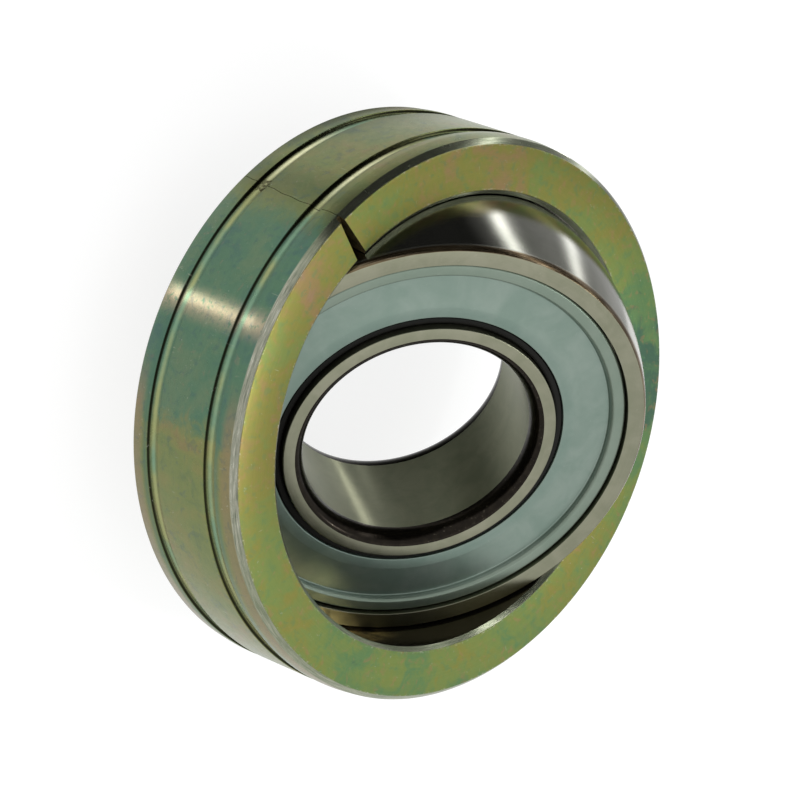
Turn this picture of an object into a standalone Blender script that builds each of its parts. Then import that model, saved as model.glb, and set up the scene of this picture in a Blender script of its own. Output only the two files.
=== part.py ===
"""Self-aligning insert ball bearing, swivelled in a split steel ring with a spherical seat.

Metres, +Z up. The origin is the centre of the spherical seat, and +Z is the ring's axis towards its front
face. The insert swivels in the seat about X, and it is shown askew by SWIVEL.
"""

from math import acos, asin, cos, pi, radians, sin

import bmesh
import bpy
from mathutils import Matrix

# Housing ring, round the insert
RING_WALL = 0.00488
RING_OVERHANG = 0.0010
RING_CHAMFER = 0.0007
RING_TAPER = 0.00016
GROOVE_SPACING = 0.0092
GROOVE_WIDTH = 0.0018
GROOVE_DEPTH = 0.00045
GROOVE_FLARE = 0.00015
MOUTH_CHAMFER = 0.0005
SEAT_CLEARANCE = 0.00012

# Split of the housing ring
SPLIT_AZIMUTH = radians(178.2)
SPLIT_WIDTH = 0.00012
SPLIT_LEAN = 0.0010
SPLIT_WANDER = 0.0001
SPLIT_WAVES = 2.5
NOTCH_WIDTH_INSIDE = 0.00138
NOTCH_WIDTH_OUTSIDE = 0.00064
NOTCH_DEPTH_INSIDE = 0.0030
NOTCH_DEPTH_OUTSIDE = 0.0004
CRACK_OFFSET = radians(0.3)

# Balls
BALL_COUNT = 9
BALL_DIAMETER = 0.0079375
PITCH_DIAMETER = 0.0390
BALL_CLEARANCE = 0.00013125

# Races, round and inside the balls
SWIVEL = radians(31.8)
CONFORMITY = 0.52
OUTER_RACE_WALL = 0.0024
INNER_RACE_WALL = 0.0029
OUTER_RACEWAY_DEPTH = 0.0014
INNER_RACEWAY_DEPTH = 0.0012
SHOULDER_FLANK = 0.00045
RACE_CORNER = 0.00025
BORE_CORNER_RADIAL = 0.00115
BORE_CORNER_AXIAL = 0.0019

# Seals
SEAL_GAP = 0.00015
SEAL_SHELF_WIDTH = 0.00075
SEAL_LAND_STEP = 0.00165
SEAL_SINK = 0.00035
SEAL_FLANGE_WIDTH = 0.0014
SEAL_FLANGE_STEP = 0.00075
SEAL_DISH_RISE = 0.00045
SEAL_FLAT_WIDTH = 0.0013
SEAL_CORNER = 0.00025
WASHER_SHEET = 0.00045
INNER_WASHER_SHEET = 0.00035
INNER_WASHER_CLEARANCE = 0.0003
LIP_SHEET = 0.0004
LIP_CLEARANCE = 0.00013
LIP_WIDTH = 0.0007
LIP_DROP = 0.00015

# Cage
CAGE_SHEET = 0.00045
CAGE_WIDTH = 0.0026
CAGE_GAP = 0.0003
CAGE_ROOM = 0.0003
POCKET_CLEARANCE = 0.00018125
RIVET_DIAMETER = 0.0011
RIVET_HEAD_DIAMETER = 0.0022
RIVET_HEAD_HEIGHT = 0.0005
RIVET_HEAD_FLAT = 0.6
RIVET_HEAD_EDGE = 0.8
RIVET_CLEARANCE = 0.00015

# Facets
RING_STEPS = 56
INSERT_STEPS = 44
SPHERE_STEPS = 8
RACEWAY_STEPS = 6
CORNER_STEPS = 3
BALL_SEGMENTS = 12
BALL_RINGS = 8
POCKET_STEPS = 8
RIVET_STEPS = 8
SPLIT_STEPS = 10
SHARP_ANGLE = radians(25)
MERGE_DISTANCE = 0.00001
CUTTER_OVERRUN = 0.001

# Radii worked out from the sizes above, from the balls outwards and inwards
BALL_RADIUS = BALL_DIAMETER / 2
PITCH_RADIUS = PITCH_DIAMETER / 2
RACEWAY_RADIUS = CONFORMITY * BALL_DIAMETER
OUTER_RACEWAY = PITCH_RADIUS + BALL_RADIUS + BALL_CLEARANCE
OUTER_SHOULDER = OUTER_RACEWAY - OUTER_RACEWAY_DEPTH
SEAL_SEAT = OUTER_SHOULDER + SEAL_SHELF_WIDTH
SPHERE_RADIUS = OUTER_RACEWAY + OUTER_RACE_WALL
SEAT_RADIUS = SPHERE_RADIUS + SEAT_CLEARANCE
RING_RADIUS = SEAT_RADIUS + RING_WALL
INNER_RACEWAY = PITCH_RADIUS - BALL_RADIUS - BALL_CLEARANCE
INNER_SHOULDER = INNER_RACEWAY + INNER_RACEWAY_DEPTH
SEAL_LAND = INNER_SHOULDER - SEAL_LAND_STEP
BORE_RADIUS = INNER_RACEWAY - INNER_RACE_WALL
SEAL_RADIUS = SEAL_SEAT - SEAL_GAP
INNER_WASHER_BORE = INNER_SHOULDER + INNER_WASHER_CLEARANCE
LIP_RADIUS = SEAL_LAND + LIP_CLEARANCE
WASHER_BORE = LIP_RADIUS + LIP_WIDTH + SEAL_GAP

# Heights worked out from the sizes above, from the cage to the ring's face
INNER_WASHER_BACK = BALL_RADIUS + POCKET_CLEARANCE + CAGE_SHEET + CAGE_ROOM
SEAL_SHELF = INNER_WASHER_BACK - SEAL_GAP
INNER_WASHER_TOP = INNER_WASHER_BACK + INNER_WASHER_SHEET
LIP_BACK = INNER_WASHER_TOP + SEAL_GAP
LIP_TOP = LIP_BACK + LIP_SHEET
WASHER_BACK = LIP_TOP + SEAL_GAP
WEB_TOP = WASHER_BACK + WASHER_SHEET
DISH_TOP = WEB_TOP + SEAL_DISH_RISE
FLANGE_TOP = WEB_TOP + SEAL_FLANGE_STEP
INSERT_FACE = FLANGE_TOP + SEAL_SINK
RING_FACE = INSERT_FACE + RING_OVERHANG

# Where the seat ends at the ring's mouth
SEAT_EDGE = asin((RING_FACE - MOUTH_CHAMFER) / SEAT_RADIUS)
MOUTH_RADIUS = SEAT_RADIUS * cos(SEAT_EDGE) + MOUTH_CHAMFER


def clear_scene():
    for obj in list(bpy.data.objects):
        bpy.data.objects.remove(obj)


def new_collection(name):
    collection = bpy.data.collections.new(name)
    bpy.context.scene.collection.children.link(collection)
    return collection


def new_material(name, colour, roughness, metallic):
    material = bpy.data.materials.new(name)
    material.use_nodes = True
    shader = material.node_tree.nodes["Principled BSDF"]
    shader.inputs["Base Color"].default_value = (*colour, 1)
    shader.inputs["Roughness"].default_value = roughness
    shader.inputs["Metallic"].default_value = metallic
    material.diffuse_color = (*colour, 1)
    return material


def new_object(name, mesh, collection, material=None, parent=None):
    obj = bpy.data.objects.new(name, mesh)
    collection.objects.link(obj)
    obj.parent = parent
    if material:
        mesh.materials.append(material)
    return obj


def new_empty(name, collection, parent=None):
    empty = bpy.data.objects.new(name, None)
    empty.empty_display_size = INSERT_FACE
    collection.objects.link(empty)
    empty.parent = parent
    return empty


def mesh_of(name, build):
    """A mesh that build(bm) fills."""
    bm = bmesh.new()
    build(bm)
    mesh = bpy.data.meshes.new(name)
    bm.to_mesh(mesh)
    bm.free()
    return mesh


def bake(obj):
    """Replaces the object's mesh by what its modifiers make, shaded smooth with sharp corners."""
    bpy.context.view_layer.update()
    graph = bpy.context.evaluated_depsgraph_get()
    mesh = bpy.data.meshes.new_from_object(obj.evaluated_get(graph))
    source = obj.data
    obj.modifiers.clear()
    obj.data = mesh
    bpy.data.meshes.remove(source)
    mesh.name = obj.name
    shade(mesh)


def shade(mesh):
    mesh.shade_smooth()
    mesh.set_sharp_from_angle(angle=SHARP_ANGLE)


def turned(name, outline, steps, collection, material, parent=None, closed=True):
    """A piece turned about Z. Its outline, (radius, height) points, runs down the outer side first."""

    def build(bm):
        points = [bm.verts.new((radius, 0, height)) for radius, height in outline]
        for first, second in zip(points, points[1:]):
            bm.edges.new((first, second))
        if closed:
            bm.edges.new((points[-1], points[0]))

    obj = new_object(name, mesh_of(name, build), collection, material, parent)
    screw = obj.modifiers.new("Turn", "SCREW")
    screw.axis = "Z"
    screw.angle = 2 * pi
    screw.steps = steps
    screw.render_steps = steps
    screw.use_merge_vertices = not closed
    screw.merge_threshold = MERGE_DISTANCE
    bake(obj)
    return obj


def cut(obj, cutter):
    modifier = obj.modifiers.new(cutter.name, "BOOLEAN")
    modifier.operation = "DIFFERENCE"
    modifier.solver = "EXACT"
    modifier.object = cutter


def as_cutter(obj):
    obj.hide_render = True
    obj.display_type = "WIRE"
    return obj


def arc(centre, radius, start, end, steps):
    """Points on an arc about (radius, height), from angle start to end, where 0 points outwards."""
    angles = [start + (end - start) * i / steps for i in range(steps + 1)]
    return [(centre[0] + radius * cos(a), centre[1] + radius * sin(a)) for a in angles]


def mirrored_down(outline):
    """The outline's points mirrored to the lower half, in the order that continues them."""
    return [(radius, -height) for radius, height in reversed(outline)]


def groove(centre):
    """A shallow turned groove in the ring's outside, from its upper edge to its lower one."""
    half = GROOVE_WIDTH / 2
    floor = RING_RADIUS - GROOVE_DEPTH
    return [
        (RING_RADIUS, centre + half),
        (floor, centre + half - GROOVE_FLARE),
        (floor, centre - half + GROOVE_FLARE),
        (RING_RADIUS, centre - half),
    ]


def ring_outline():
    upper = [
        (MOUTH_RADIUS, RING_FACE),
        (RING_RADIUS - RING_CHAMFER, RING_FACE),
        (RING_RADIUS - RING_TAPER, RING_FACE - RING_CHAMFER),
        *groove(GROOVE_SPACING / 2),
    ]
    seat = arc((0, 0), SEAT_RADIUS, -SEAT_EDGE, SEAT_EDGE, SPHERE_STEPS)
    return [*upper, *mirrored_down(upper), *seat]


def notch_cutter(collection):
    """A wedge that cuts the split's starter notch into the front face, deepest and widest at the seat."""

    def build(bm):
        bmesh.ops.create_cube(bm, size=1)
        for vertex in bm.verts:
            inside = vertex.co.x < 0
            width = NOTCH_WIDTH_INSIDE if inside else NOTCH_WIDTH_OUTSIDE
            depth = NOTCH_DEPTH_INSIDE if inside else NOTCH_DEPTH_OUTSIDE
            vertex.co.y *= width
            vertex.co.x = MOUTH_RADIUS - CUTTER_OVERRUN if inside else RING_RADIUS
            vertex.co.z = RING_FACE + (CUTTER_OVERRUN if vertex.co.z > 0 else -depth)

    cutter = as_cutter(new_object("notch_cutter", mesh_of("notch_cutter", build), collection))
    cutter.rotation_euler.z = SPLIT_AZIMUTH
    return cutter


def split_cutter(collection):
    """A thin sheet that leans and wanders as the crack does and parts the ring from face to face."""
    inner = MOUTH_RADIUS - MOUTH_CHAMFER - CUTTER_OVERRUN
    outer = RING_RADIUS + CUTTER_OVERRUN
    reach = RING_FACE + CUTTER_OVERRUN

    def build(bm):
        rows = []
        for i in range(SPLIT_STEPS + 1):
            share = i / SPLIT_STEPS
            height = reach * (1 - 2 * share)
            side = SPLIT_WANDER * sin(2 * pi * SPLIT_WAVES * share) - SPLIT_LEAN * share
            rows.append([bm.verts.new((radius, side, height)) for radius in (inner, outer)])
        for upper, lower in zip(rows, rows[1:]):
            bm.faces.new((upper[0], lower[0], lower[1], upper[1]))

    cutter = as_cutter(new_object("split_cutter", mesh_of("split_cutter", build), collection))
    cutter.rotation_euler.z = SPLIT_AZIMUTH - CRACK_OFFSET
    sheet = cutter.modifiers.new("Thickness", "SOLIDIFY")
    sheet.thickness = SPLIT_WIDTH
    sheet.offset = 0
    return cutter


def housing_ring(parts, cutters, material):
    ring = turned("housing_ring", ring_outline(), RING_STEPS, parts, material)
    cut(ring, notch_cutter(cutters))
    cut(ring, split_cutter(cutters))
    return ring


def raceway(bottom_radius, shoulder_radius, facing):
    """Groove points, top to bottom; facing is 1 for the inner race and -1 for the outer."""
    centre = bottom_radius + facing * RACEWAY_RADIUS
    half = acos(facing * (centre - shoulder_radius) / RACEWAY_RADIUS)
    if facing > 0:
        return arc((centre, 0), RACEWAY_RADIUS, pi - half, pi + half, RACEWAY_STEPS)
    return arc((centre, 0), RACEWAY_RADIUS, half, -half, RACEWAY_STEPS)


def outer_race(parts, material, parent):
    corner = asin((INSERT_FACE - RACE_CORNER) / SPHERE_RADIUS)
    rim = SPHERE_RADIUS * cos(corner)
    sphere = arc((0, 0), SPHERE_RADIUS, corner, -corner, SPHERE_STEPS)
    groove_points = raceway(OUTER_RACEWAY, OUTER_SHOULDER, -1)
    face = [
        (OUTER_SHOULDER, SEAL_SHELF),
        (SEAL_SEAT, SEAL_SHELF),
        (SEAL_SEAT, INSERT_FACE),
        (rim - RACE_CORNER, INSERT_FACE),
    ]
    outline = [*face, *sphere, *mirrored_down(face), *reversed(groove_points)]
    return turned("outer_race", outline, INSERT_STEPS, parts, material, parent)


def inner_race(parts, material, parent):
    groove_points = raceway(INNER_RACEWAY, INNER_SHOULDER, 1)
    upper_inside = [
        (
            BORE_RADIUS + BORE_CORNER_RADIAL * (1 - sin(a)),
            INSERT_FACE - BORE_CORNER_AXIAL * (1 - cos(a)),
        )
        for a in (pi / 2 * (1 - i / CORNER_STEPS) for i in range(CORNER_STEPS + 1))
    ]
    upper_outside = [
        (SEAL_LAND, INSERT_FACE),
        (SEAL_LAND, SEAL_SHELF),
        (INNER_SHOULDER, SEAL_SHELF - SHOULDER_FLANK),
    ]
    upper = [*upper_inside, *upper_outside]
    outline = [*upper, *groove_points, *mirrored_down(upper)]
    return turned("inner_race", outline, INSERT_STEPS, parts, material, parent)


def seal_side(outline, side):
    """The outline for the front seal (side 1), or the same turned over for the rear one (side -1)."""
    return outline if side > 0 else mirrored_down(outline)


def outer_washer(name, side, parts, material, parent):
    flange = SEAL_RADIUS - SEAL_FLANGE_WIDTH
    flat = WASHER_BORE + SEAL_FLAT_WIDTH
    outline = [
        (WASHER_BORE, DISH_TOP),
        (flat, DISH_TOP),
        (flange - SEAL_CORNER, WEB_TOP),
        (flange, FLANGE_TOP),
        (SEAL_RADIUS - SEAL_CORNER, FLANGE_TOP),
        (SEAL_RADIUS, FLANGE_TOP - SEAL_CORNER),
        (SEAL_RADIUS, WASHER_BACK),
        (flange - SEAL_CORNER, WASHER_BACK),
        (flat, DISH_TOP - WASHER_SHEET),
        (WASHER_BORE, DISH_TOP - WASHER_SHEET),
    ]
    return turned(name, seal_side(outline, side), INSERT_STEPS, parts, material, parent)


def rubber_lip(name, side, parts, material, parent):
    flange = SEAL_RADIUS - SEAL_FLANGE_WIDTH - SEAL_CORNER
    flat = WASHER_BORE + SEAL_FLAT_WIDTH
    under_dish = DISH_TOP - WASHER_SHEET - SEAL_GAP
    lip_side = WASHER_BORE - SEAL_GAP
    outline = [
        (LIP_RADIUS, DISH_TOP - LIP_DROP),
        (lip_side, DISH_TOP - LIP_DROP),
        (lip_side, under_dish),
        (flat, under_dish),
        (flange, LIP_TOP),
        (SEAL_RADIUS, LIP_TOP),
        (SEAL_RADIUS, LIP_BACK),
        (LIP_RADIUS, LIP_BACK),
    ]
    return turned(name, seal_side(outline, side), INSERT_STEPS, parts, material, parent)


def inner_washer(name, side, parts, material, parent):
    outline = [
        (INNER_WASHER_BORE, INNER_WASHER_TOP),
        (SEAL_RADIUS, INNER_WASHER_TOP),
        (SEAL_RADIUS, INNER_WASHER_BACK),
        (INNER_WASHER_BORE, INNER_WASHER_BACK),
    ]
    return turned(name, seal_side(outline, side), INSERT_STEPS, parts, material, parent)


def seal(end, side, parts, zinc, rubber, parent):
    outer_washer(f"{end}_seal_outer_washer", side, parts, zinc, parent)
    rubber_lip(f"{end}_seal_rubber_lip", side, parts, rubber, parent)
    inner_washer(f"{end}_seal_inner_washer", side, parts, zinc, parent)


def balls(parts, material, parent):
    def build(bm):
        bmesh.ops.create_uvsphere(
            bm, u_segments=BALL_SEGMENTS, v_segments=BALL_RINGS, radius=BALL_RADIUS
        )

    mesh = mesh_of("ball", build)
    mesh.shade_smooth()
    mesh.materials.append(material)
    for i in range(BALL_COUNT):
        azimuth = 2 * pi * i / BALL_COUNT
        ball = new_object(f"ball_{i + 1}", mesh, parts, parent=parent)
        ball.location = (PITCH_RADIUS * cos(azimuth), PITCH_RADIUS * sin(azimuth), 0)


def ribbon_stations():
    """(azimuth, height) along one cage half's middle line: over each ball's pocket, then flat to the next."""
    pocket = BALL_RADIUS + POCKET_CLEARANCE
    land = CAGE_GAP / 2
    edge = asin(land / pocket)
    stations = []
    for i in range(BALL_COUNT):
        middle = 2 * pi * i / BALL_COUNT
        for j in range(POCKET_STEPS + 1):
            turn = edge + (pi - 2 * edge) * j / POCKET_STEPS
            stations.append((middle - asin(pocket * cos(turn) / PITCH_RADIUS), pocket * sin(turn)))
    return stations


def cage_half(name, side, parts, material, parent, holes):
    """A pressed ribbon that bulges over each ball and is thickened away from the balls."""
    radii = (PITCH_RADIUS - CAGE_WIDTH / 2, PITCH_RADIUS + CAGE_WIDTH / 2)

    def build(bm):
        rows = [
            [bm.verts.new((r * cos(azimuth), r * sin(azimuth), side * height)) for r in radii]
            for azimuth, height in ribbon_stations()
        ]
        for first, second in zip(rows, [*rows[1:], rows[0]]):
            corners = (first[0], first[1], second[1], second[0])
            bm.faces.new(corners if side > 0 else corners[::-1])

    half = new_object(name, mesh_of(name, build), parts, material, parent)
    sheet = half.modifiers.new("Sheet", "SOLIDIFY")
    sheet.thickness = CAGE_SHEET
    sheet.offset = 1
    sheet.use_even_offset = True
    cut(half, holes)
    return half


def rivet_places():
    for i in range(BALL_COUNT):
        azimuth = 2 * pi * (i + 0.5) / BALL_COUNT
        yield azimuth, Matrix.Translation((PITCH_RADIUS * cos(azimuth), PITCH_RADIUS * sin(azimuth), 0))


def rivet_hole_cutter(cutters, parent):
    radius = RIVET_DIAMETER / 2 + RIVET_CLEARANCE

    def build(bm):
        for azimuth, place in rivet_places():
            bmesh.ops.create_cone(
                bm,
                cap_ends=True,
                segments=RIVET_STEPS,
                radius1=radius,
                radius2=radius,
                depth=BALL_DIAMETER,
                matrix=place @ Matrix.Rotation(azimuth, 4, "Z"),
            )

    return as_cutter(new_object("rivet_holes", mesh_of("rivet_holes", build), cutters, parent=parent))


def rivets(parts, material, parent):
    shank = RIVET_DIAMETER / 2
    head = RIVET_HEAD_DIAMETER / 2
    under_head = CAGE_GAP / 2 + CAGE_SHEET + RIVET_CLEARANCE
    top = under_head + RIVET_HEAD_HEIGHT
    upper = [
        (0, top),
        (head * RIVET_HEAD_FLAT, under_head + RIVET_HEAD_HEIGHT * RIVET_HEAD_EDGE),
        (head, under_head),
        (shank, under_head),
    ]
    outline = [*upper, *mirrored_down(upper)]
    for i, (azimuth, place) in enumerate(rivet_places()):
        rivet = turned(
            f"cage_rivet_{i + 1}", outline, RIVET_STEPS, parts, material, parent, closed=False
        )
        rivet.location = place.translation
        rivet.rotation_euler.z = azimuth


def main():
    clear_scene()
    parts = new_collection("bearing")
    cutters = new_collection("cutters")
    chromate = new_material("chromated_steel", (0.42, 0.43, 0.24), 0.38, 0.85)
    ground = new_material("ground_steel", (0.52, 0.51, 0.46), 0.28, 1)
    zinc = new_material("zinc_plated_sheet", (0.47, 0.53, 0.52), 0.42, 0.9)
    rubber = new_material("black_rubber", (0.015, 0.015, 0.014), 0.6, 0)
    polished = new_material("polished_steel", (0.6, 0.6, 0.58), 0.12, 1)
    sheet = new_material("pressed_steel", (0.4, 0.4, 0.38), 0.35, 1)

    swivel = new_empty("swivel_pivot", parts)
    swivel.rotation_euler.x = SWIVEL
    spin = new_empty("inner_spin_axis", parts, swivel)
    cage = new_empty("cage_axis", parts, swivel)

    housing_ring(parts, cutters, chromate)
    outer_race(parts, ground, swivel)
    inner_race(parts, ground, spin)
    seal("front", 1, parts, zinc, rubber, swivel)
    seal("rear", -1, parts, zinc, rubber, swivel)
    balls(parts, polished, cage)
    holes = rivet_hole_cutter(cutters, cage)
    cage_half("cage_front", 1, parts, sheet, cage, holes)
    cage_half("cage_rear", -1, parts, sheet, cage, holes)
    rivets(parts, polished, cage)


main()
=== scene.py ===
"""Looks of the swivelled insert bearing.

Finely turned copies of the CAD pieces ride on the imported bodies. Lengths are written in mm.
"""

from math import acos, asin, cos, hypot, pi, radians, sin, tan

import bmesh
import bpy
from mathutils import Matrix, Vector


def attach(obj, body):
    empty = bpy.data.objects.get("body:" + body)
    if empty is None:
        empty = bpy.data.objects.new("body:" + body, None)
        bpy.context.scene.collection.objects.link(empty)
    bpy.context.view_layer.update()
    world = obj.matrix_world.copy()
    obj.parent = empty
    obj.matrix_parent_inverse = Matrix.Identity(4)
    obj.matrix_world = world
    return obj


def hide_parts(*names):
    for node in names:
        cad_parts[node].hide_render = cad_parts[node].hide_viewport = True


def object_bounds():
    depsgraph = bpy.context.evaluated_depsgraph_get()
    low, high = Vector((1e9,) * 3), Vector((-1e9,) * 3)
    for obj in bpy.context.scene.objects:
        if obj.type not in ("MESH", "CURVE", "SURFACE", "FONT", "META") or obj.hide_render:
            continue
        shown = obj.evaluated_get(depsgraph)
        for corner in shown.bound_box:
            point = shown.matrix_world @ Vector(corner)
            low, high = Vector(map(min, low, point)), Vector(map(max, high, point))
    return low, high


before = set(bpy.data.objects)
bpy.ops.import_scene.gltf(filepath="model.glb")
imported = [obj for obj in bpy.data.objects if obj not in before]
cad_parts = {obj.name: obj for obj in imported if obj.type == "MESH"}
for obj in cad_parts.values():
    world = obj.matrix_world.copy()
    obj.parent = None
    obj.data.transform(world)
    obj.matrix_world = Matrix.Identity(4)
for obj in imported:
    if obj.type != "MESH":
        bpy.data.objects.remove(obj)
cad_box = [list(corner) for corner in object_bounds()]

MM = 0.001
SWIVEL = radians(31.8)  # of the insert in its seat, at rest
TILT = Matrix.Rotation(SWIVEL, 4, "X")
RACE_STEPS, RING_STEPS = 300, 360

scene = bpy.context.scene
scene.view_settings.view_transform = "Standard"


# Geometry
def rounded(points):
    """A closed outline of (radius, height, fillet) points as plain points, with each corner filleted."""
    made = []
    count = len(points)
    for i, (r, z, fillet) in enumerate(points):
        here = Vector((r, z))
        if not fillet:
            made.append((r, z))
            continue
        before = Vector(points[i - 1][:2]) - here
        after = Vector(points[(i + 1) % count][:2]) - here
        turn = acos(max(-1.0, min(1.0, before.normalized() @ after.normalized())))
        reach = min(fillet / tan(turn / 2), 0.49 * before.length, 0.49 * after.length)
        start = here + before.normalized() * reach
        end = here + after.normalized() * reach
        steps = max(2, round((pi - turn) / radians(18)))
        for k in range(steps + 1):
            t = k / steps
            p = start * (1 - t) ** 2 + here * (2 * t * (1 - t)) + end * t**2
            made.append((p.x, p.y))
    return made


def arc(centre, radius, start, end, steps):
    return [
        (centre[0] + radius * cos(a), centre[1] + radius * sin(a), 0)
        for a in (start + (end - start) * i / steps for i in range(steps + 1))
    ]


def flipped(points):
    """The outline turned over to the other face."""
    return [(p[0], -p[1], *p[2:]) for p in reversed(points)]


def shade(mesh, angle=40):
    mesh.shade_smooth()
    mesh.set_sharp_from_angle(angle=radians(angle))


def link(name, mesh, material, matrix=None):
    obj = bpy.data.objects.new(name, mesh)
    scene.collection.objects.link(obj)
    mesh.materials.append(material)
    if matrix is not None:
        mesh.transform(matrix)
    return obj


def lathe(name, outline, material, matrix=None, steps=RACE_STEPS, zones=()):
    """A closed outline of (radius, height) points, turned about Z; zones are (test, material) pairs."""
    bm = bmesh.new()
    rings = []
    for i in range(steps):
        c, s = cos(2 * pi * i / steps), sin(2 * pi * i / steps)
        rings.append([bm.verts.new((r * MM * c, r * MM * s, z * MM)) for r, z in outline])
    count = len(outline)
    slots = []
    for k in range(count):
        r0, z0 = outline[k]
        r1, z1 = outline[(k + 1) % count]
        slot = 0
        for n, (test, _) in enumerate(zones):
            if test((r0 + r1) / 2, (z0 + z1) / 2):
                slot = n + 1
        slots.append(slot)
    for i in range(steps):
        a, b = rings[i], rings[(i + 1) % steps]
        for k in range(count):
            j = (k + 1) % count
            face = bm.faces.new((a[k], b[k], b[j], a[j]))
            face.material_index = slots[k]
    bmesh.ops.recalc_face_normals(bm, faces=bm.faces)
    mesh = bpy.data.meshes.new(name)
    bm.to_mesh(mesh)
    bm.free()
    obj = link(name, mesh, material, matrix)
    for _, extra in zones:
        mesh.materials.append(extra)
    shade(mesh)
    return obj


def cut(obj, cutter):
    """Takes the cutter out of the object's mesh for good; the new faces keep the cutter's material."""
    modifier = obj.modifiers.new("cut", "BOOLEAN")
    modifier.operation = "DIFFERENCE"
    modifier.solver = "EXACT"
    modifier.material_mode = "TRANSFER"
    modifier.object = cutter
    graph = bpy.context.evaluated_depsgraph_get()
    mesh = bpy.data.meshes.new_from_object(obj.evaluated_get(graph))
    obj.modifiers.clear()
    obj.data = mesh
    bpy.data.objects.remove(cutter)
    shade(mesh, 30)


# Node helper
class Nodes:
    """The nodes of a material or world; every input may be a number, a colour or a node's output."""

    def __init__(self, owner):
        owner.use_nodes = True
        self.owner = owner
        self.tree = owner.node_tree
        self.tree.nodes.clear()

    def put(self, kind, values=(), **settings):
        node = self.tree.nodes.new(kind)
        for key, value in settings.items():
            setattr(node, key, value)
        for key, value in dict(values).items():
            socket = node.inputs[key]
            if isinstance(value, bpy.types.NodeSocket):
                self.tree.links.new(value, socket)
            elif socket.type == "RGBA" and len(value) == 3:
                socket.default_value = (*value, 1)
            else:
                socket.default_value = value
        return node

    def math(self, operation, a, b=0.0, c=0.0):
        return self.put("ShaderNodeMath", {0: a, 1: b, 2: c}, operation=operation).outputs[0]

    def times(self, a, b):
        return self.math("MULTIPLY", a, b)

    def plus(self, a, b):
        return self.math("ADD", a, b)

    def minus(self, a, b):
        return self.math("SUBTRACT", a, b)

    def line(self, value, factor, start):
        """value * factor + start."""
        return self.math("MULTIPLY_ADD", value, factor, start)

    def smooth(self, value, low, high):
        """0 below low, 1 above high, smooth between; low may be above high."""
        node = self.put(
            "ShaderNodeMapRange",
            {"Value": value, "From Min": low, "From Max": high},
            interpolation_type="SMOOTHSTEP",
        )
        return node.outputs[0]

    def noise(self, where, scale, detail=3.0, rough=0.55, distort=0.0):
        return self.put(
            "ShaderNodeTexNoise",
            {"Vector": where, "Scale": scale, "Detail": detail, "Roughness": rough, "Distortion": distort},
        ).outputs["Fac"]

    def mix(self, share, a, b, blend="MIX"):
        node = self.put("ShaderNodeMix", {}, data_type="RGBA", blend_type=blend)
        for key, value in ((0, share), (6, a), (7, b)):
            if isinstance(value, bpy.types.NodeSocket):
                self.tree.links.new(value, node.inputs[key])
            elif key and len(value) == 3:
                node.inputs[key].default_value = (*value, 1)
            else:
                node.inputs[key].default_value = value
        return node.outputs[2]

    def ramp(self, value, stops):
        node = self.put("ShaderNodeValToRGB", {"Fac": value})
        ramp = node.color_ramp
        ramp.interpolation = "EASE"
        while len(ramp.elements) < len(stops):
            ramp.elements.new(1)
        for element, (position, colour) in zip(ramp.elements, stops):
            element.position = position
            element.color = (*colour, 1)
        return node.outputs[0]

    def place(self):
        return self.put("ShaderNodeTexCoord").outputs["Object"]

    def millimetres(self, metres=None):
        """The point on the object in mm, or a given point in metres."""
        return self.scaled(metres or self.place(), (1 / MM, 1 / MM, 1 / MM))

    def film(self, colour, share, shape, tint):
        """The colour with a tint laid over it, where shape is 1, by the share."""
        return self.mix(self.times(shape, share), colour, tint)

    def turned_marks(self, r, angle, z, across, along, rough):
        """Fine marks round an axis: dense across the turning direction, drawn out along it."""
        where = self.vector(self.times(r, across), self.times(angle, along), self.times(z, across))
        return self.noise(where, 1.0, 3.0, rough)

    def parts(self, vector):
        node = self.put("ShaderNodeSeparateXYZ", {0: vector})
        return node.outputs[0], node.outputs[1], node.outputs[2]

    def scaled(self, vector, factors):
        return self.put("ShaderNodeVectorMath", {0: vector, 1: factors}, operation="MULTIPLY").outputs[0]

    def vector(self, x, y, z):
        return self.put("ShaderNodeCombineXYZ", {0: x, 1: y, 2: z}).outputs[0]

    def bump(self, height, strength, distance):
        values = {"Height": height, "Strength": strength, "Distance": distance}
        return self.put("ShaderNodeBump", values).outputs[0]

    def polar(self, vector):
        """Radius, angle (-pi to pi) and height about the vector's Z."""
        x, y, z = self.parts(vector)
        flat = self.math("SQRT", self.plus(self.times(x, x), self.times(y, y)))
        return flat, self.math("ARCTAN2", y, x), z

    def finish(self, **values):
        names = {key.replace("_", " "): value for key, value in values.items()}
        return self.surface(self.put("ShaderNodeBsdfPrincipled", names))

    def surface(self, shader, kind="ShaderNodeOutputMaterial"):
        self.put(kind, {"Surface": shader.outputs[0]})
        return self.owner


def new_material(name):
    return Nodes(bpy.data.materials.new(name))


def insert_place(g):
    """The point in the insert's own frame, whose Z is the bore's axis."""
    values = {"Vector": g.place(), "Angle": -SWIVEL}
    return g.put("ShaderNodeVectorRotate", values, rotation_type="X_AXIS").outputs[0]


def turned_tangent(g, where, tilted):
    """The direction of the turning marks, round the Z of where, in world space."""
    x, y, _ = g.parts(where)
    around = g.vector(g.times(y, -1.0), x, 0.0)
    if tilted:
        values = {"Vector": around, "Angle": SWIVEL}
        around = g.put("ShaderNodeVectorRotate", values, rotation_type="X_AXIS").outputs[0]
    spaces = {"vector_type": "VECTOR", "convert_from": "OBJECT", "convert_to": "WORLD"}
    return g.put("ShaderNodeVectorTransform", {0: around}, **spaces).outputs[0]


def bell(g, value, centre, width):
    """1 at the centre, falling smoothly to 0 at width either side."""
    return g.smooth(g.math("ABSOLUTE", g.minus(value, centre)), width, 0.0)


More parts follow.
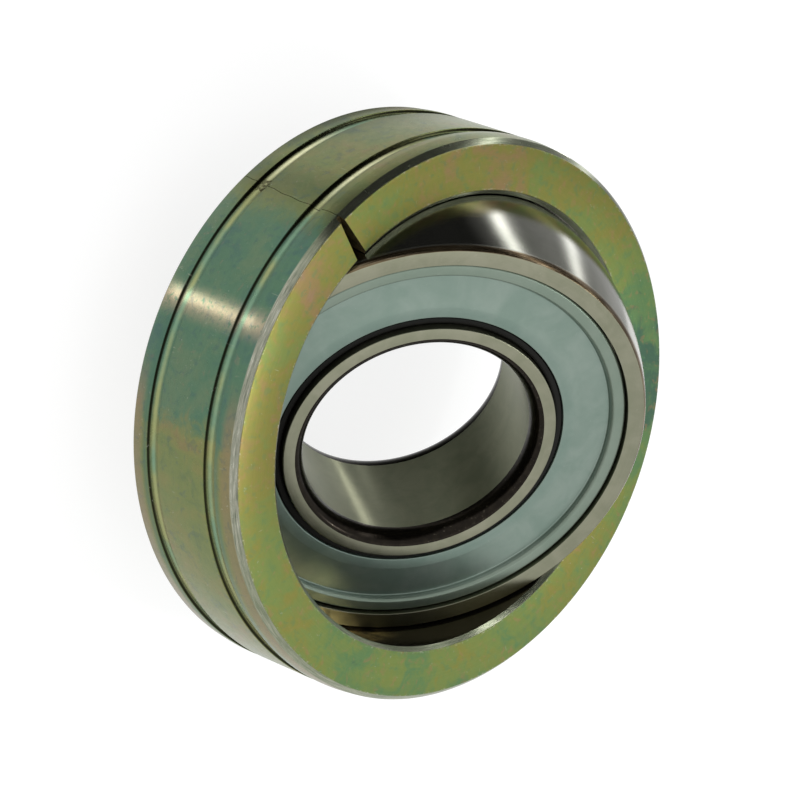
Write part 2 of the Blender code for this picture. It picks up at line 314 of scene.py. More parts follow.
def chromate_material():
    """Yellow chromate on turned steel: drifting olive, teal and pink, rubbed bright at the chamfers, with a
    painted highlight on one stretch of them.
    """
    g = new_material("chromate")
    mm = g.millimetres()
    r, angle, z = g.polar(mm)
    turn = g.plus(g.math("DEGREES", angle), g.times(g.math("LESS_THAN", angle, 0.0), 360.0))
    height = g.math("ABSOLUTE", z)

    drift = g.noise(mm, 0.13, 2.0, 0.5, 0.6)
    blotch = g.noise(mm, 0.42, 3.0, 0.6, 0.8)
    mottle = g.noise(mm, 1.5, 4.0, 0.65)
    grain = g.noise(mm, 6.0, 2.0, 0.6)
    marks = g.turned_marks(r, angle, z, 9.0, 1.3, 0.6)

    # The front and rear faces
    tone = g.plus(g.times(drift, 0.5), g.times(blotch, 0.5))
    tone = g.line(g.minus(tone, 0.5), 1.1, 0.47)
    for centre, width, shift in (
        (56.0, 36.0, -0.4),
        (135.0, 55.0, 0.2),
        (193.0, 18.0, 0.3),
        (228.0, 46.0, 0.16),
        (300.0, 60.0, -0.1),
    ):
        tone = g.line(bell(g, turn, centre, width), shift, tone)
    face = g.ramp(
        tone,
        [
            (0.08, (0.07, 0.14, 0.09)),
            (0.26, (0.13, 0.225, 0.09)),
            (0.44, (0.195, 0.25, 0.072)),
            (0.60, (0.24, 0.232, 0.058)),
            (0.76, (0.285, 0.205, 0.085)),
            (0.95, (0.31, 0.19, 0.135)),
        ],
    )

    # The outside, teal on one stretch and olive to tan on the rest
    edge = g.line(g.minus(blotch, 0.5), 16.0, turn)
    teal = g.times(g.smooth(edge, 177.0, 186.0), g.smooth(edge, 231.0, 224.0))
    shade_of = g.plus(g.minus(drift, 0.5), g.times(g.minus(blotch, 0.5), 0.7))
    olive = g.ramp(
        g.plus(shade_of, 0.5),
        [
            (0.2, (0.12, 0.16, 0.08)),
            (0.42, (0.17, 0.2, 0.078)),
            (0.6, (0.195, 0.2, 0.078)),
            (0.8, (0.215, 0.18, 0.085)),
        ],
    )
    green = g.ramp(
        g.plus(shade_of, 0.5),
        [
            (0.2, (0.07, 0.137, 0.112)),
            (0.45, (0.09, 0.17, 0.108)),
            (0.68, (0.115, 0.18, 0.108)),
            (0.9, (0.165, 0.185, 0.122)),
        ],
    )
    outside = g.mix(teal, olive, green)
    front_band = g.times(g.smooth(height, 5.9, 7.0), g.smooth(turn, 215.0, 225.0))
    outside = g.film(outside, 0.55, front_band, (0.25, 0.18, 0.115))
    at_groove = g.times(bell(g, height, 5.75, 0.7), g.smooth(turn, 185.0, 200.0))
    outside = g.film(outside, 0.6, at_groove, (0.075, 0.15, 0.105))

    # Painted highlight: a paler cream tint along the stretch where the low strip's reflection runs down the
    # outside.
    painted_highlight_streak = g.times(bell(g, turn, 204.5, 4.5), g.smooth(mottle, 0.25, 0.5))
    outside = g.film(outside, 0.75, painted_highlight_streak, (0.36, 0.285, 0.2))
    outside = g.mix(g.times(bell(g, turn, 174.5, 8.0), 0.6), outside, (0.075, 0.1, 0.045))

    patches = g.noise(mm, 0.95, 3.0, 0.55, 0.6)
    face = g.mix(g.times(g.smooth(patches, 0.55, 0.71), 0.45), face, (0.33, 0.195, 0.1))
    face = g.mix(g.times(g.smooth(patches, 0.46, 0.32), 0.4), face, (0.1, 0.22, 0.1))
    face = g.mix(g.times(bell(g, turn, 225.0, 48.0), 0.24), face, (0.12, 0.085, 0.02))
    outside = g.mix(g.times(g.smooth(patches, 0.45, 0.3), 0.3), outside, (0.055, 0.1, 0.115))
    outside = g.mix(g.times(g.smooth(patches, 0.6, 0.75), 0.25), outside, (0.26, 0.18, 0.13))

    is_face = g.smooth(height, 8.40, 8.49)
    colour = g.mix(is_face, outside, face)

    # Chamfers: rubbed down to bare zinc on one stretch, painted paler there as a highlight too, dull green
    # elsewhere
    chamfer = g.times(g.smooth(height, 7.72, 7.86), g.smooth(height, 8.5, 8.42))
    rubbed_and_sheen = g.times(g.smooth(turn, 184.0, 200.0), g.smooth(turn, 262.0, 236.0))
    scuffs = g.noise(g.vector(g.times(height, 7.0), g.times(angle, 11.0), g.times(z, 2.0)), 1.0, 4.0, 0.7)
    # The pale end of this ramp is painted highlight as well as bare zinc.
    bare_zinc_and_sheen_stops = [(0.3, (0.15, 0.165, 0.12)), (0.5, (0.33, 0.33, 0.26)), (0.7, (0.55, 0.54, 0.45))]
    bare_zinc_and_sheen = g.ramp(scuffs, bare_zinc_and_sheen_stops)
    dull = g.mix(g.smooth(scuffs, 0.35, 0.7), (0.2, 0.225, 0.15), (0.34, 0.35, 0.26))
    colour = g.mix(chamfer, colour, g.mix(rubbed_and_sheen, dull, bare_zinc_and_sheen))

    # Worn crests: the face's outer rim and the mouth's edge
    rim = g.times(bell(g, r, 30.22, 0.22), is_face)
    mouth = g.times(bell(g, r, 25.42, 0.2), g.smooth(height, 8.2, 8.4))
    nicks = g.smooth(g.noise(mm, 2.6, 4.0, 0.75), 0.53, 0.66)
    worn = g.times(g.math("MAXIMUM", rim, mouth), nicks)
    colour = g.film(colour, 0.75, worn, (0.52, 0.5, 0.4))

    # Grooves: dark in the rear corner, as dirt and painted shade, a painted highlight in the hollow beside
    # it and a thin line of painted shade at the front edge
    # Dirt and painted shade in the rear corner of each groove.
    dirt_and_shade = g.math("MAXIMUM", bell(g, z, 3.77, 0.17), bell(g, z, -5.44, 0.17))
    inside = g.smooth(r, 30.98, 30.9)
    # Painted highlight in the hollow of each groove, brightest and cream on one stretch.
    hollow = g.times(g.math("MAXIMUM", bell(g, z, 4.35, 0.6), bell(g, z, -4.85, 0.6)), inside)
    painted_hollow_highlight = g.mix(g.smooth(drift, 0.4, 0.6), (0.2, 0.33, 0.22), (0.36, 0.38, 0.17))
    painted_hollow_highlight = g.mix(bell(g, turn, 166.0, 15.0), painted_hollow_highlight, (1.0, 0.98, 0.62))
    colour = g.film(colour, 0.85, hollow, painted_hollow_highlight)
    colour = g.mix(g.times(dirt_and_shade, inside), colour, (0.014, 0.014, 0.006))
    # Painted shade: a thin dark line along the front edge of each groove.
    painted_edge_shade = g.math("MAXIMUM", bell(g, z, 5.46, 0.12), bell(g, z, -3.74, 0.12))
    colour = g.film(colour, 0.8, painted_edge_shade, (0.03, 0.03, 0.014))

    # Rust-brown residue where the crack crosses the rear groove
    x, y, _ = g.parts(mm)
    near = g.times(g.times(bell(g, y, 1.7, 1.9), bell(g, z, -4.4, 1.7)), g.math("LESS_THAN", x, 0.0))
    stain = g.times(g.smooth(near, 0.15, 0.7), g.smooth(g.noise(mm, 1.9, 4.0, 0.7), 0.42, 0.6))
    colour = g.film(colour, 0.85, stain, (0.05, 0.035, 0.015))

    # Fine mottling, hairline scratches and grain over everything
    cooler = g.mix(1.0, colour, (0.72, 0.86, 0.8), "MULTIPLY")
    colour = g.film(colour, 0.22, g.smooth(mottle, 0.35, 0.7), cooler)
    colour = g.mix(0.35, colour, g.mix(marks, (0.7, 0.7, 0.7), (1.3, 1.3, 1.3)), "MULTIPLY")
    across = g.vector(g.times(angle, 190.0), g.times(r, 0.6), g.times(z, 0.5))
    scratch = g.smooth(g.noise(across, 1.0, 1.0, 0.4, 0.3), 0.74, 0.8)
    scratch = g.times(scratch, g.smooth(g.noise(mm, 0.35, 2.0), 0.5, 0.62))
    colour = g.film(colour, 0.45, scratch, (0.4, 0.42, 0.32))

    specks = g.times(g.smooth(g.noise(mm, 2.3, 3.0, 0.7), 0.66, 0.72), g.smooth(drift, 0.42, 0.52))
    colour = g.film(colour, 0.4, specks, (0.42, 0.43, 0.36))

    rough = g.line(mottle, 0.14, g.line(is_face, 0.07, 0.18))
    rough = g.line(stain, 0.3, rough)
    relief = g.plus(g.times(marks, 0.7), g.times(grain, 0.5))
    normal = g.bump(relief, 0.22, 0.00003)
    return g.finish(
        Base_Color=colour,
        Metallic=0.96,
        Roughness=rough,
        Anisotropic=g.line(is_face, -0.45, 0.8),
        Anisotropic_Rotation=0.25,
        Tangent=turned_tangent(g, mm, tilted=False),
        Normal=normal,
    )


def steel(name, low, high, rough, spread, anisotropic, tilted=True, mark_scale=14.0):
    """Ground or turned steel with fine marks round its axis."""
    g = new_material(name)
    mm = g.millimetres(insert_place(g) if tilted else None)
    r, angle, z = g.polar(mm)
    marks = g.turned_marks(r, angle, z, mark_scale, 0.8, 0.65)
    clouds = g.noise(mm, 0.35, 3.0, 0.6, 0.4)
    grain = g.noise(mm, 7.0, 2.0, 0.6)
    colour = g.mix(g.smooth(clouds, 0.3, 0.7), low, high)
    colour = g.mix(0.3, colour, g.mix(marks, (0.7, 0.7, 0.7), (1.3, 1.3, 1.3)), "MULTIPLY")
    specks = g.smooth(g.noise(mm, 3.1, 3.0, 0.7), 0.66, 0.74)
    colour = g.film(colour, 0.25, specks, (0.5, 0.48, 0.42))
    roughness = g.plus(g.line(clouds, spread, rough), g.times(grain, spread * 0.5))
    normal = g.bump(g.plus(marks, g.times(grain, 0.3)), 0.22, 0.00003)
    return g.finish(
        Base_Color=colour,
        Metallic=1.0,
        Roughness=roughness,
        Anisotropic=anisotropic,
        Anisotropic_Rotation=0.25,
        Tangent=turned_tangent(g, mm, tilted),
        Normal=normal,
    )


def zinc_material():
    """Zinc-plated sheet, bluish, with faint clouding, painted shade on the inner flat beside the lip and
    tiny handling marks.
    """
    g = new_material("zinc")
    mm = g.millimetres(insert_place(g))
    r, _, _ = g.polar(mm)
    clouds = g.noise(mm, 0.22, 3.0, 0.55, 0.5)
    mottle = g.noise(mm, 1.3, 4.0, 0.65)
    grain = g.noise(mm, 8.0, 2.0, 0.6)
    colour = g.mix(g.smooth(clouds, 0.3, 0.7), (0.205, 0.275, 0.232), (0.255, 0.318, 0.275))
    # Painted shade: a darker band on the inner flat beside the rubber lip.
    colour = g.mix(g.times(bell(g, r, 16.4, 1.25), 0.35), colour, (0.15, 0.225, 0.19))
    flange = g.smooth(r, 21.15, 21.35)
    colour = g.film(colour, 0.5, flange, (0.2, 0.24, 0.18))
    # Painted shade: a thin dark line along the step to the flange.
    colour = g.mix(g.times(bell(g, r, 21.12, 0.13), 0.6), colour, (0.07, 0.1, 0.075))
    colour = g.mix(0.16, colour, g.mix(mottle, (0.6, 0.66, 0.64), (1.4, 1.36, 1.34)), "MULTIPLY")
    marks = g.smooth(g.noise(mm, 1.7, 2.0, 0.8, 1.2), 0.7, 0.76)
    colour = g.film(colour, 0.3, marks, (0.42, 0.47, 0.42))
    rough = g.line(mottle, 0.12, 0.33)
    normal = g.bump(g.plus(g.times(grain, 0.5), mottle), 0.14, 0.00005)
    return g.finish(Base_Color=colour, Metallic=0.82, Roughness=rough, Normal=normal)


def rubber_material():
    g = new_material("rubber")
    mm = g.millimetres(insert_place(g))
    mottle = g.noise(mm, 1.6, 4.0, 0.6)
    dust = g.smooth(g.noise(mm, 4.3, 3.0, 0.75), 0.7, 0.78)
    colour = g.mix(mottle, (0.006, 0.006, 0.005), (0.013, 0.013, 0.011))
    colour = g.film(colour, 0.35, dust, (0.2, 0.19, 0.16))
    rough = g.line(mottle, 0.2, 0.5)
    relief = g.bump(g.noise(mm, 5.0, 3.0), 0.3, 0.00004)
    return g.finish(Base_Color=colour, Roughness=rough, Specular_IOR_Level=0.15, Normal=relief)


def scale_material(name, dark, light, rough):
    """Brown-black scale that hardening leaves where the steel isn't ground afterwards."""
    g = new_material(name)
    mm = g.millimetres()
    patch = g.noise(mm, 1.1, 4.0, 0.65, 0.5)
    grain = g.noise(mm, 5.0, 3.0, 0.6)
    colour = g.mix(g.smooth(patch, 0.35, 0.7), dark, light)
    nicks = g.smooth(g.noise(mm, 2.9, 3.0, 0.7), 0.64, 0.72)
    colour = g.film(colour, 0.4, nicks, (0.3, 0.27, 0.2))
    return g.finish(
        Base_Color=colour,
        Metallic=0.9,
        Roughness=g.line(grain, 0.16, rough),
        Normal=g.bump(grain, 0.2, 0.00004),
    )


def corner_material():
    """Brown heat tint on the unground corner of the outer race, drifting along the rim."""
    g = new_material("corner_metal")
    mm = g.millimetres(insert_place(g))
    _, angle, z = g.polar(mm)
    height = g.math("ABSOLUTE", z)
    along = g.noise(g.vector(g.times(angle, 2.2), g.times(height, 1.6), 0.0), 1.0, 4.0, 0.6)
    streaks = g.noise(g.vector(g.times(angle, 9.0), g.times(height, 12.0), 4.0), 1.0, 3.0, 0.6)
    colour = g.mix(g.smooth(along, 0.38, 0.62), (0.055, 0.037, 0.02), (0.2, 0.15, 0.085))
    colour = g.mix(g.times(g.smooth(streaks, 0.5, 0.68), 0.6), colour, (0.33, 0.28, 0.19))
    colour = g.mix(g.smooth(height, 6.95, 6.72), colour, (0.31, 0.31, 0.27))
    rough = g.line(streaks, 0.14, 0.16)
    normal = g.bump(streaks, 0.15, 0.00003)
    return g.finish(Base_Color=colour, Metallic=0.96, Roughness=rough, Normal=normal)


def seat_material():
    """Turned steel of the seat, still gold with chromate deep down on one stretch, painted bright there so
    that the outer race mirrors it as a highlight.
    """
    g = new_material("seat_metal")
    mm = g.millimetres()
    r, angle, z = g.polar(mm)
    marks = g.noise(g.vector(g.times(r, 9.0), angle, g.times(z, 9.0)), 1.0, 3.0, 0.6)
    # Gold chromate, painted bright so that its reflection in the outer race shows as a highlight.
    gold_and_highlight = g.times(bell(g, g.math("DEGREES", angle), -57.0, 26.0), g.smooth(z, 2.6, 0.8))
    gold_and_highlight = g.times(g.smooth(gold_and_highlight, 0.05, 0.4), g.smooth(g.noise(mm, 0.6, 3.0), 0.3, 0.5))
    colour = g.mix(marks, (0.1, 0.09, 0.055), (0.15, 0.135, 0.09))
    colour = g.mix(gold_and_highlight, colour, (0.72, 0.58, 0.3))
    return g.finish(
        Base_Color=colour,
        Metallic=0.96,
        Roughness=g.line(marks, 0.12, 0.1),
        Normal=g.bump(marks, 0.2, 0.00003),
    )


chromate = chromate_material()
notch_metal = scale_material("notch_metal", (0.05, 0.038, 0.018), (0.16, 0.12, 0.05), 0.5)
seat_metal = seat_material()
race_metal = steel("race_metal", (0.245, 0.25, 0.175), (0.29, 0.288, 0.21), 0.24, 0.08, anisotropic=0.3)
sphere_metal = steel("sphere_metal", (0.3, 0.305, 0.265), (0.34, 0.34, 0.3), 0.085, 0.04, anisotropic=0.5)
corner_metal = corner_material()
bore_corner_metal = scale_material("bore_corner_metal", (0.012, 0.0095, 0.007), (0.02, 0.016, 0.011), 0.14)
bore_metal = steel(
    "bore_metal", (0.225, 0.24, 0.165), (0.27, 0.28, 0.195), 0.28, 0.06, anisotropic=0.95, mark_scale=20.0
)
zinc = zinc_material()
rubber = rubber_material()
plain = {"tilted": False, "anisotropic": 0.0}
ball_metal = steel("ball_metal", (0.42, 0.42, 0.4), (0.46, 0.46, 0.44), 0.05, 0.03, **plain)
cage_metal = steel("cage_metal", (0.24, 0.24, 0.2), (0.33, 0.33, 0.29), 0.3, 0.1, **plain)


# Housing ring
RING_R, RING_Z = 31.0, 8.5  # outside radius and half width
SEAT_R, SEAT_END_Z = 26.12, 8.02  # the spherical seat, and the height where the mouth's bevel starts
ON_ARC = 0.02  # how near to a sphere the middle of its faces lies

# (radius, height, fillet) from the mouth outwards and down the upper half of the outside
RING_HALF = [
    (25.36, RING_Z, 0.12),
    (30.24, RING_Z, 0.16),
    (30.84, 7.82, 0.25),
    (RING_R, 6.3, 1.2),
    (RING_R, 5.5, 0.07),
    (30.62, 5.36, 0.16),
    (30.55, 4.6, 0.1),
    (30.6, 3.86, 0.16),
    (RING_R, 3.7, 0.07),
]

# (z, y) along the crack, from the front face to the rear face
CRACK = [
    (9.5, 0.95), (8.5, 1.0), (6.6, 1.12), (5.2, 1.02), (3.4, 1.16), (1.9, 1.12), (0.4, 1.3), (-1.2, 1.34),
    (-2.5, 1.58), (-3.6, 1.62), (-4.9, 1.9), (-6.2, 1.82), (-7.4, 2.02), (-8.5, 2.0), (-9.5, 2.05),
]
CRACK_HALF_WIDTH = 0.03
CRACK_X = (-24.3, -32.2)

# (y, z) of the starter notch: widest and deepest at the seat, running out at the outside
NOTCH = (
    (-24.2, [(-0.02, 5.6), (0.42, 5.2), (1.36, 5.5), (1.42, 9.4), (-0.16, 9.4)]),
    (-31.3, [(0.72, 8.2), (0.9, 8.15), (1.12, 8.2), (1.2, 9.4), (0.58, 9.4)]),
)


def ring_outline():
    edge = asin(SEAT_END_Z / SEAT_R)
    seat = arc((0, 0), SEAT_R, -edge, edge, 40)
    return rounded([*RING_HALF, *flipped(RING_HALF), *seat])


def prism(name, corners, material):
    """A closed solid from two matching loops of points in mm."""
    bm = bmesh.new()
    first, second = ([bm.verts.new([c * MM for c in p]) for p in loop] for loop in corners)
    count = len(first)
    bm.faces.new(first[::-1])
    bm.faces.new(second)
    for i in range(count):
        j = (i + 1) % count
        bm.faces.new((first[i], first[j], second[j], second[i]))
    bmesh.ops.recalc_face_normals(bm, faces=bm.faces)
    mesh = bpy.data.meshes.new(name)
    bm.to_mesh(mesh)
    bm.free()
    return link(name, mesh, material)


def crack_cutter():
    """A thin wandering slab that parts the ring at its split."""
    loops = []
    for x in CRACK_X:
        left = [(x, y - CRACK_HALF_WIDTH, z) for z, y in CRACK]
        right = [(x, y + CRACK_HALF_WIDTH, z) for z, y in reversed(CRACK)]
        loops.append([*left, *right])
    return prism("crack_cutter", loops, notch_metal)


def notch_cutter():
    return prism("notch_cutter", [[(x, y, z) for y, z in loop] for x, loop in NOTCH], notch_metal)


def in_seat(r, z):
    return abs(hypot(r, z) - SEAT_R) < ON_ARC


ring = lathe("split_ring", ring_outline(), chromate, steps=RING_STEPS, zones=[(in_seat, seat_metal)])
cut(ring, notch_cutter())
cut(ring, crack_cutter())
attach(ring, "housing")
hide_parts("housing_ring")

# Races
SPHERE_R, SPHERE_END_Z = 26.0, 7.25  # the insert's spherical outside
FACE_Z = 7.5  # half width of the insert
GROOVE_R = 4.1275  # section of both raceways
OUTER_GROOVE_BOTTOM, OUTER_SHOULDER = 23.6, 22.2
INNER_GROOVE_BOTTOM, INNER_SHOULDER = 15.4, 16.6
RECESS_R, LAND_R, RECESS_Z = 22.95, 14.95, 4.75  # the seal's recess, and the land inside its lip
BORE_R, CORNER_ACROSS, CORNER_ALONG = 12.5, 1.15, 1.9
CORNER_STEPS = 14
POLISHED_Z, CORNER_R = 6.7, 24.55  # where the polish of the sphere ends, and the tinted corner's inner edge
BORE_END_Z = FACE_Z - CORNER_ALONG


def outer_race_outline():
    edge = asin(SPHERE_END_Z / SPHERE_R)
    sphere = arc((0, 0), SPHERE_R, edge, -edge, 48)
    centre = OUTER_GROOVE_BOTTOM - GROOVE_R
    half = acos((OUTER_SHOULDER - centre) / GROOVE_R)
    face = [
        (OUTER_SHOULDER, RECESS_Z, 0.05),
        (RECESS_R, RECESS_Z, 0),
        (RECESS_R, FACE_Z, 0.07),
        (SPHERE_R * cos(edge) - 0.22, FACE_Z, 0.14),
    ]
    return rounded([*face, *sphere, *flipped(face), *arc((centre, 0), GROOVE_R, -half, half, 20)])


def on_sphere(r, z):
    return abs(hypot(r, z) - SPHERE_R) < ON_ARC and abs(z) < POLISHED_Z


def on_outer_corner(r, z):
    return r > CORNER_R and POLISHED_Z <= abs(z) < FACE_Z - 0.01


outer_zones = [(on_sphere, sphere_metal), (on_outer_corner, corner_metal)]
outer = lathe("insert_outer_race", outer_race_outline(), race_metal, TILT, zones=outer_zones)
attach(outer, "insert_outer")
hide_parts("outer_race")


def inner_race_outline():
    centre = INNER_GROOVE_BOTTOM + GROOVE_R
    half = acos((centre - INNER_SHOULDER) / GROOVE_R)
    angles = [pi / 2 * (1 - i / CORNER_STEPS) for i in range(CORNER_STEPS + 1)]
    upper = [
        *((BORE_R + CORNER_ACROSS * (1 - sin(a)), FACE_Z - CORNER_ALONG * (1 - cos(a)), 0) for a in angles),
        (LAND_R, FACE_Z, 0.12),
        (LAND_R, RECESS_Z, 0.05),
        (INNER_SHOULDER, 4.3, 0.08),
    ]
    return rounded([*upper, *arc((centre, 0), GROOVE_R, pi - half, pi + half, 20), *flipped(upper)])


def in_bore(r, z):
    return r < BORE_R + ON_ARC and abs(z) < BORE_END_Z


def on_bore_corner(r, z):
    return r < BORE_R + CORNER_ACROSS and BORE_END_Z <= abs(z) < FACE_Z - 0.005


inner_zones = [(in_bore, bore_metal), (on_bore_corner, bore_corner_metal)]
inner = lathe("insert_inner_race", inner_race_outline(), race_metal, TILT, zones=inner_zones)
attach(inner, "insert_inner")
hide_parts("inner_race")

# Seals
WASHER = [
    (15.93, 6.85, 0.1),
    (17.2, 6.84, 0.8),
    (21.08, 6.42, 0.2),
    (21.3, 6.92, 0.2),
    (21.52, 7.15, 0.3),
    (22.62, 7.15, 0.3),
    (22.8, 6.85, 0.2),
    (22.8, 5.95, 0.05),
    (21.15, 5.95, 0.1),
    (17.23, 6.4, 0.3),
    (15.93, 6.4, 0.05),
]
LIP = [
    (15.08, 6.62, 0.12),
    (15.3, 6.72, 0.1),
    (15.78, 6.7, 0.08),
    (15.78, 6.25, 0.05),
    (17.23, 6.25, 0.1),
    (21.15, 5.8, 0.05),
    (22.8, 5.8, 0.05),
    (22.8, 5.4, 0.05),
    (15.08, 5.4, 0.1),
]
CLAMP = [(16.9, 5.25, 0.05), (22.8, 5.25, 0.05), (22.8, 4.9, 0.05), (16.9, 4.9, 0.05)]
for end, side in (("front", 1), ("rear", -1)):
    for piece, outline, material, slot in (
        ("outer_washer", WASHER, zinc, "zinc_plated_sheet"),
        ("rubber_lip", LIP, rubber, "black_rubber"),
        ("inner_washer", CLAMP, zinc, "zinc_plated_sheet"),
    ):
        shape = outline if side > 0 else flipped(outline)
        obj = lathe(f"{end}_{piece}", rounded(shape), material, TILT)
        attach(obj, "insert_outer")
        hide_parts(f"{end}_seal_{piece}")

# Balls and cage
BALL_COUNT, BALL_R, PITCH_R = 9, 3.96, 19.5
for i in range(BALL_COUNT):
    azimuth = 2 * pi * i / BALL_COUNT
    bm = bmesh.new()
    bmesh.ops.create_icosphere(bm, subdivisions=4, radius=BALL_R * MM)
    mesh = bpy.data.meshes.new(f"bearing_ball_{i + 1}")
    bm.to_mesh(mesh)
    bm.free()
    mesh.shade_smooth()
    centre = TILT @ Vector((PITCH_R * MM * cos(azimuth), PITCH_R * MM * sin(azimuth), 0))
    ball = link(mesh.name, mesh, ball_metal, Matrix.Translation(centre))
    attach(ball, f"ball_{i + 1}")
    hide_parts(f"ball_{i + 1}")
for name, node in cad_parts.items():
    if name.startswith("cage"):
        for slot in node.material_slots:
            slot.material = cage_metal


# Stage
def stage_mesh(name, corners, faces, material, only_mirrored=False):
    mesh = bpy.data.meshes.new(name)
    mesh.from_pydata([[c * MM for c in p] for p in corners], [], faces)
    obj = link(name, mesh, material)
    if only_mirrored:
        obj.visible_camera = obj.visible_diffuse = obj.visible_shadow = False


def square(x, y, half, z):
    return [(x + i * half, y + j * half, z) for i, j in ((-1, -1), (1, -1), (1, 1), (-1, 1))]


FLOOR_Z = (cad_box[0][2] - 0.0001) / MM
FLOOR_HALF = 6000


def floor():
    """White to the camera and in mirrors, and still taking the object's shadow."""
    g = new_material("floor")
    paths = g.put("ShaderNodeLightPath").outputs
    seen = g.plus(g.plus(paths["Is Camera Ray"], paths["Is Glossy Ray"]), paths["Is Transmission Ray"])
    seen = g.math("MINIMUM", seen, 1.0)
    glow = g.put("ShaderNodeEmission", {"Color": (1, 1, 1), "Strength": g.times(seen, 0.8)})
    paint = g.put("ShaderNodeBsdfDiffuse", {"Color": (0.3, 0.3, 0.3)})
    g.surface(g.put("ShaderNodeAddShader", {0: glow.outputs[0], 1: paint.outputs[0]}))
    stage_mesh("floor", square(0, 0, FLOOR_HALF, FLOOR_Z), [(0, 1, 2, 3)], g.owner)


WALL_R, WALL_TOP, WALL_STEPS = 75.0, 150.0, 60
WALL_START, WALL_END = 56.0, 172.0  # azimuths in degrees
FIRST_STRIP, SECOND_STRIP = 104.5, 77.0
# (azimuth, grey) along the screen: dark cloth, and light at the two strips
CLOTH = (
    (56, 0.6), (70, 0.45), (SECOND_STRIP, 1.0), (84, 0.36), (96, 0.3),
    (FIRST_STRIP, 1.0), (112, 0.12), (119, 0.02), (160, 0.02), (172, 0.6),
)


def at(azimuth):
    return (azimuth - WALL_START) / (WALL_END - WALL_START)


def screen():
    """A curved screen that only mirror rays see: dark cloth with two soft leaning strips of light."""
    g = new_material("screen")
    _, angle, z = g.polar(g.millimetres())
    lean = g.plus(g.times(g.smooth(z, -19.0, 12.0), 6.0), g.times(g.smooth(z, 35.0, 85.0), -9.0))
    azimuth = g.minus(g.math("DEGREES", angle), lean)
    share = g.math("DIVIDE", g.minus(azimuth, WALL_START), WALL_END - WALL_START)
    cloth = g.ramp(share, [(at(turn), (grey,) * 3) for turn, grey in CLOTH])
    first = g.times(bell(g, share, at(FIRST_STRIP), 0.042), 2.6)
    second = g.times(bell(g, share, at(SECOND_STRIP), 0.04), 1.3)
    high = g.line(g.smooth(z, 20.0, 60.0), 2.0, 1.0)
    strips = g.math("MAXIMUM", g.times(first, high), second)
    g.surface(g.put("ShaderNodeEmission", {"Color": cloth, "Strength": g.plus(strips, 1.0)}))
    corners, faces = [], []
    for i in range(WALL_STEPS + 1):
        a = radians(WALL_START + (WALL_END - WALL_START) * i / WALL_STEPS)
        x, y = WALL_R * cos(a), WALL_R * sin(a)
        corners += [(x, y, FLOOR_Z + 0.2), (x, y, WALL_TOP)]
        if i:
            k = 2 * i
            faces.append((k - 2, k, k + 1, k - 1))
    stage_mesh("screen", corners, faces, g.owner, only_mirrored=True)


SHADOW_X, SHADOW_Y, SHADOW_HALF = -10.0, 14.0, 30


def under_shadow():
    """The object's own deep shadow on the floor, as the bore mirrors it."""
    g = new_material("under_shadow")
    x, y, _ = g.parts(g.millimetres())
    dx, dy = g.minus(x, SHADOW_X), g.minus(y, SHADOW_Y)
    away = g.math("SQRT", g.plus(g.times(dx, dx), g.times(dy, dy)))
    clear = g.put("ShaderNodeBsdfTransparent")
    dark = g.put("ShaderNodeEmission", {"Color": (0.05, 0.055, 0.04), "Strength": 1.0})
    fade = g.smooth(away, 14.0, 27.0)
    g.surface(g.put("ShaderNodeMixShader", {0: fade, 1: dark.outputs[0], 2: clear.outputs[0]}))
    corners = square(SHADOW_X, SHADOW_Y, SHADOW_HALF, FLOOR_Z + 0.05)
    stage_mesh("under_shadow", corners, [(0, 1, 2, 3)], g.owner, only_mirrored=True)


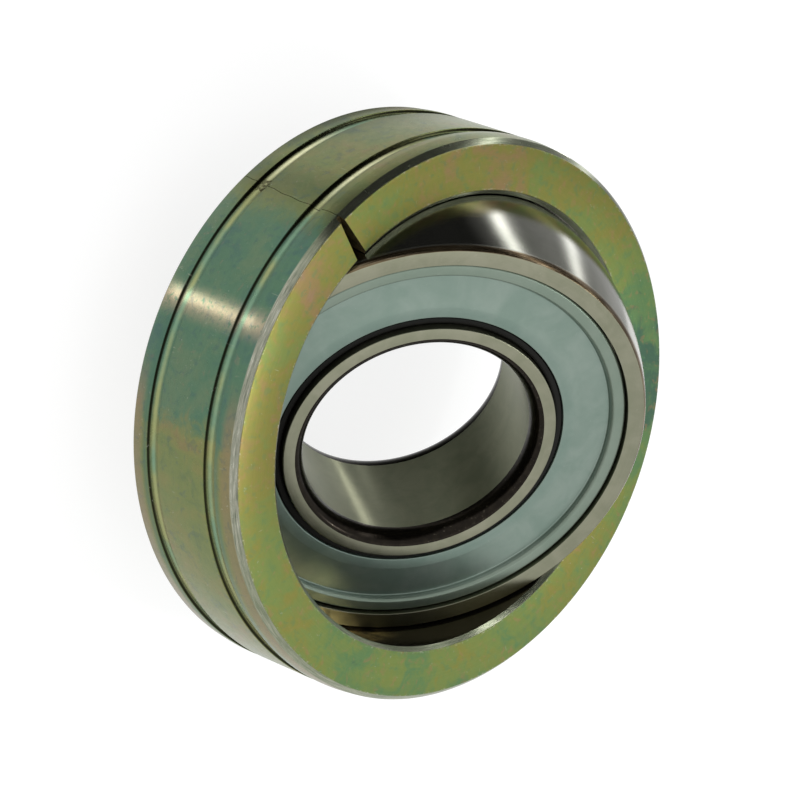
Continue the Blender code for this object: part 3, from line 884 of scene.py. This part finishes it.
def low_strip(name, azimuth, offset, start, end, half, strength):
    """A strip of light flat on the floor, beside a line that runs outwards at the azimuth."""
    g = new_material(name)
    g.surface(g.put("ShaderNodeEmission", {"Color": (1.0, 0.97, 0.9), "Strength": strength}))
    c, d = cos(radians(azimuth)), sin(radians(azimuth))
    ends = ((start, offset - half), (end, offset - half), (end, offset + half), (start, offset + half))
    corners = [(c * u - d * w, d * u + c * w, FLOOR_Z + 0.1) for u, w in ends]
    stage_mesh(name, corners, [(0, 1, 2, 3)], g.owner, only_mirrored=True)


def studio():
    """A white world, a little darker overhead."""
    scene.world = bpy.data.worlds.new("studio")
    g = Nodes(scene.world)
    _, _, height = g.parts(g.put("ShaderNodeTexCoord").outputs["Generated"])
    gradient = g.ramp(g.smooth(height, 0.12, 0.8), [(0, (1.0, 1.0, 1.0)), (1, (0.86, 0.87, 0.88))])
    g.surface(g.put("ShaderNodeBackground", {"Color": gradient, "Strength": 1.0}), "ShaderNodeOutputWorld")


LAMP_DISTANCE = 0.5  # in metres


def soft_lamp(name, azimuth, elevation, size, radiance):
    """A round area lamp, azimuth from +X towards +Y, aimed at the bearing; radiance 1 is white."""
    data = bpy.data.lights.new(name, "AREA")
    data.shape = "DISK"
    data.size = size
    data.energy = radiance * pi * pi * size * size / 4
    lamp = bpy.data.objects.new(name, data)
    a, e = radians(azimuth), radians(elevation)
    towards = Vector((cos(a) * cos(e), sin(a) * cos(e), sin(e)))
    lamp.location = towards * LAMP_DISTANCE
    lamp.rotation_euler = towards.to_track_quat("Z", "Y").to_euler()
    lamp.visible_camera = False
    scene.collection.objects.link(lamp)


floor()
screen()
under_shadow()
low_strip("low_strip_1", 202, 0, 38, 70, 1.1, 4.6)
low_strip("low_strip_2", 90, -9.5, 33, 70, 1.2, 16.0)
studio()
soft_lamp("key", 20, 66, 0.08, 16.0)
soft_lamp("fill", 300, 58, 0.3, 0.5)


# Camera, as fitted to the outlines in the photo
camera = bpy.data.objects.new("camera", bpy.data.cameras.new("camera"))
scene.collection.objects.link(camera)
scene.camera = camera
right = Vector((0.41099, 0.62238, 0.66613))
up = Vector((-0.66323, 0.70545, -0.24991))
back = Vector((-0.62547, -0.33909, 0.70272))
camera.matrix_world = Matrix.Translation((-0.320896, -0.173764, 0.359795)) @ Matrix(
    (right, up, back)
).transposed().to_4x4()
camera.data.sensor_width = 36
camera.data.lens = 214.70
camera.data.clip_start, camera.data.clip_end = 0.01, 50
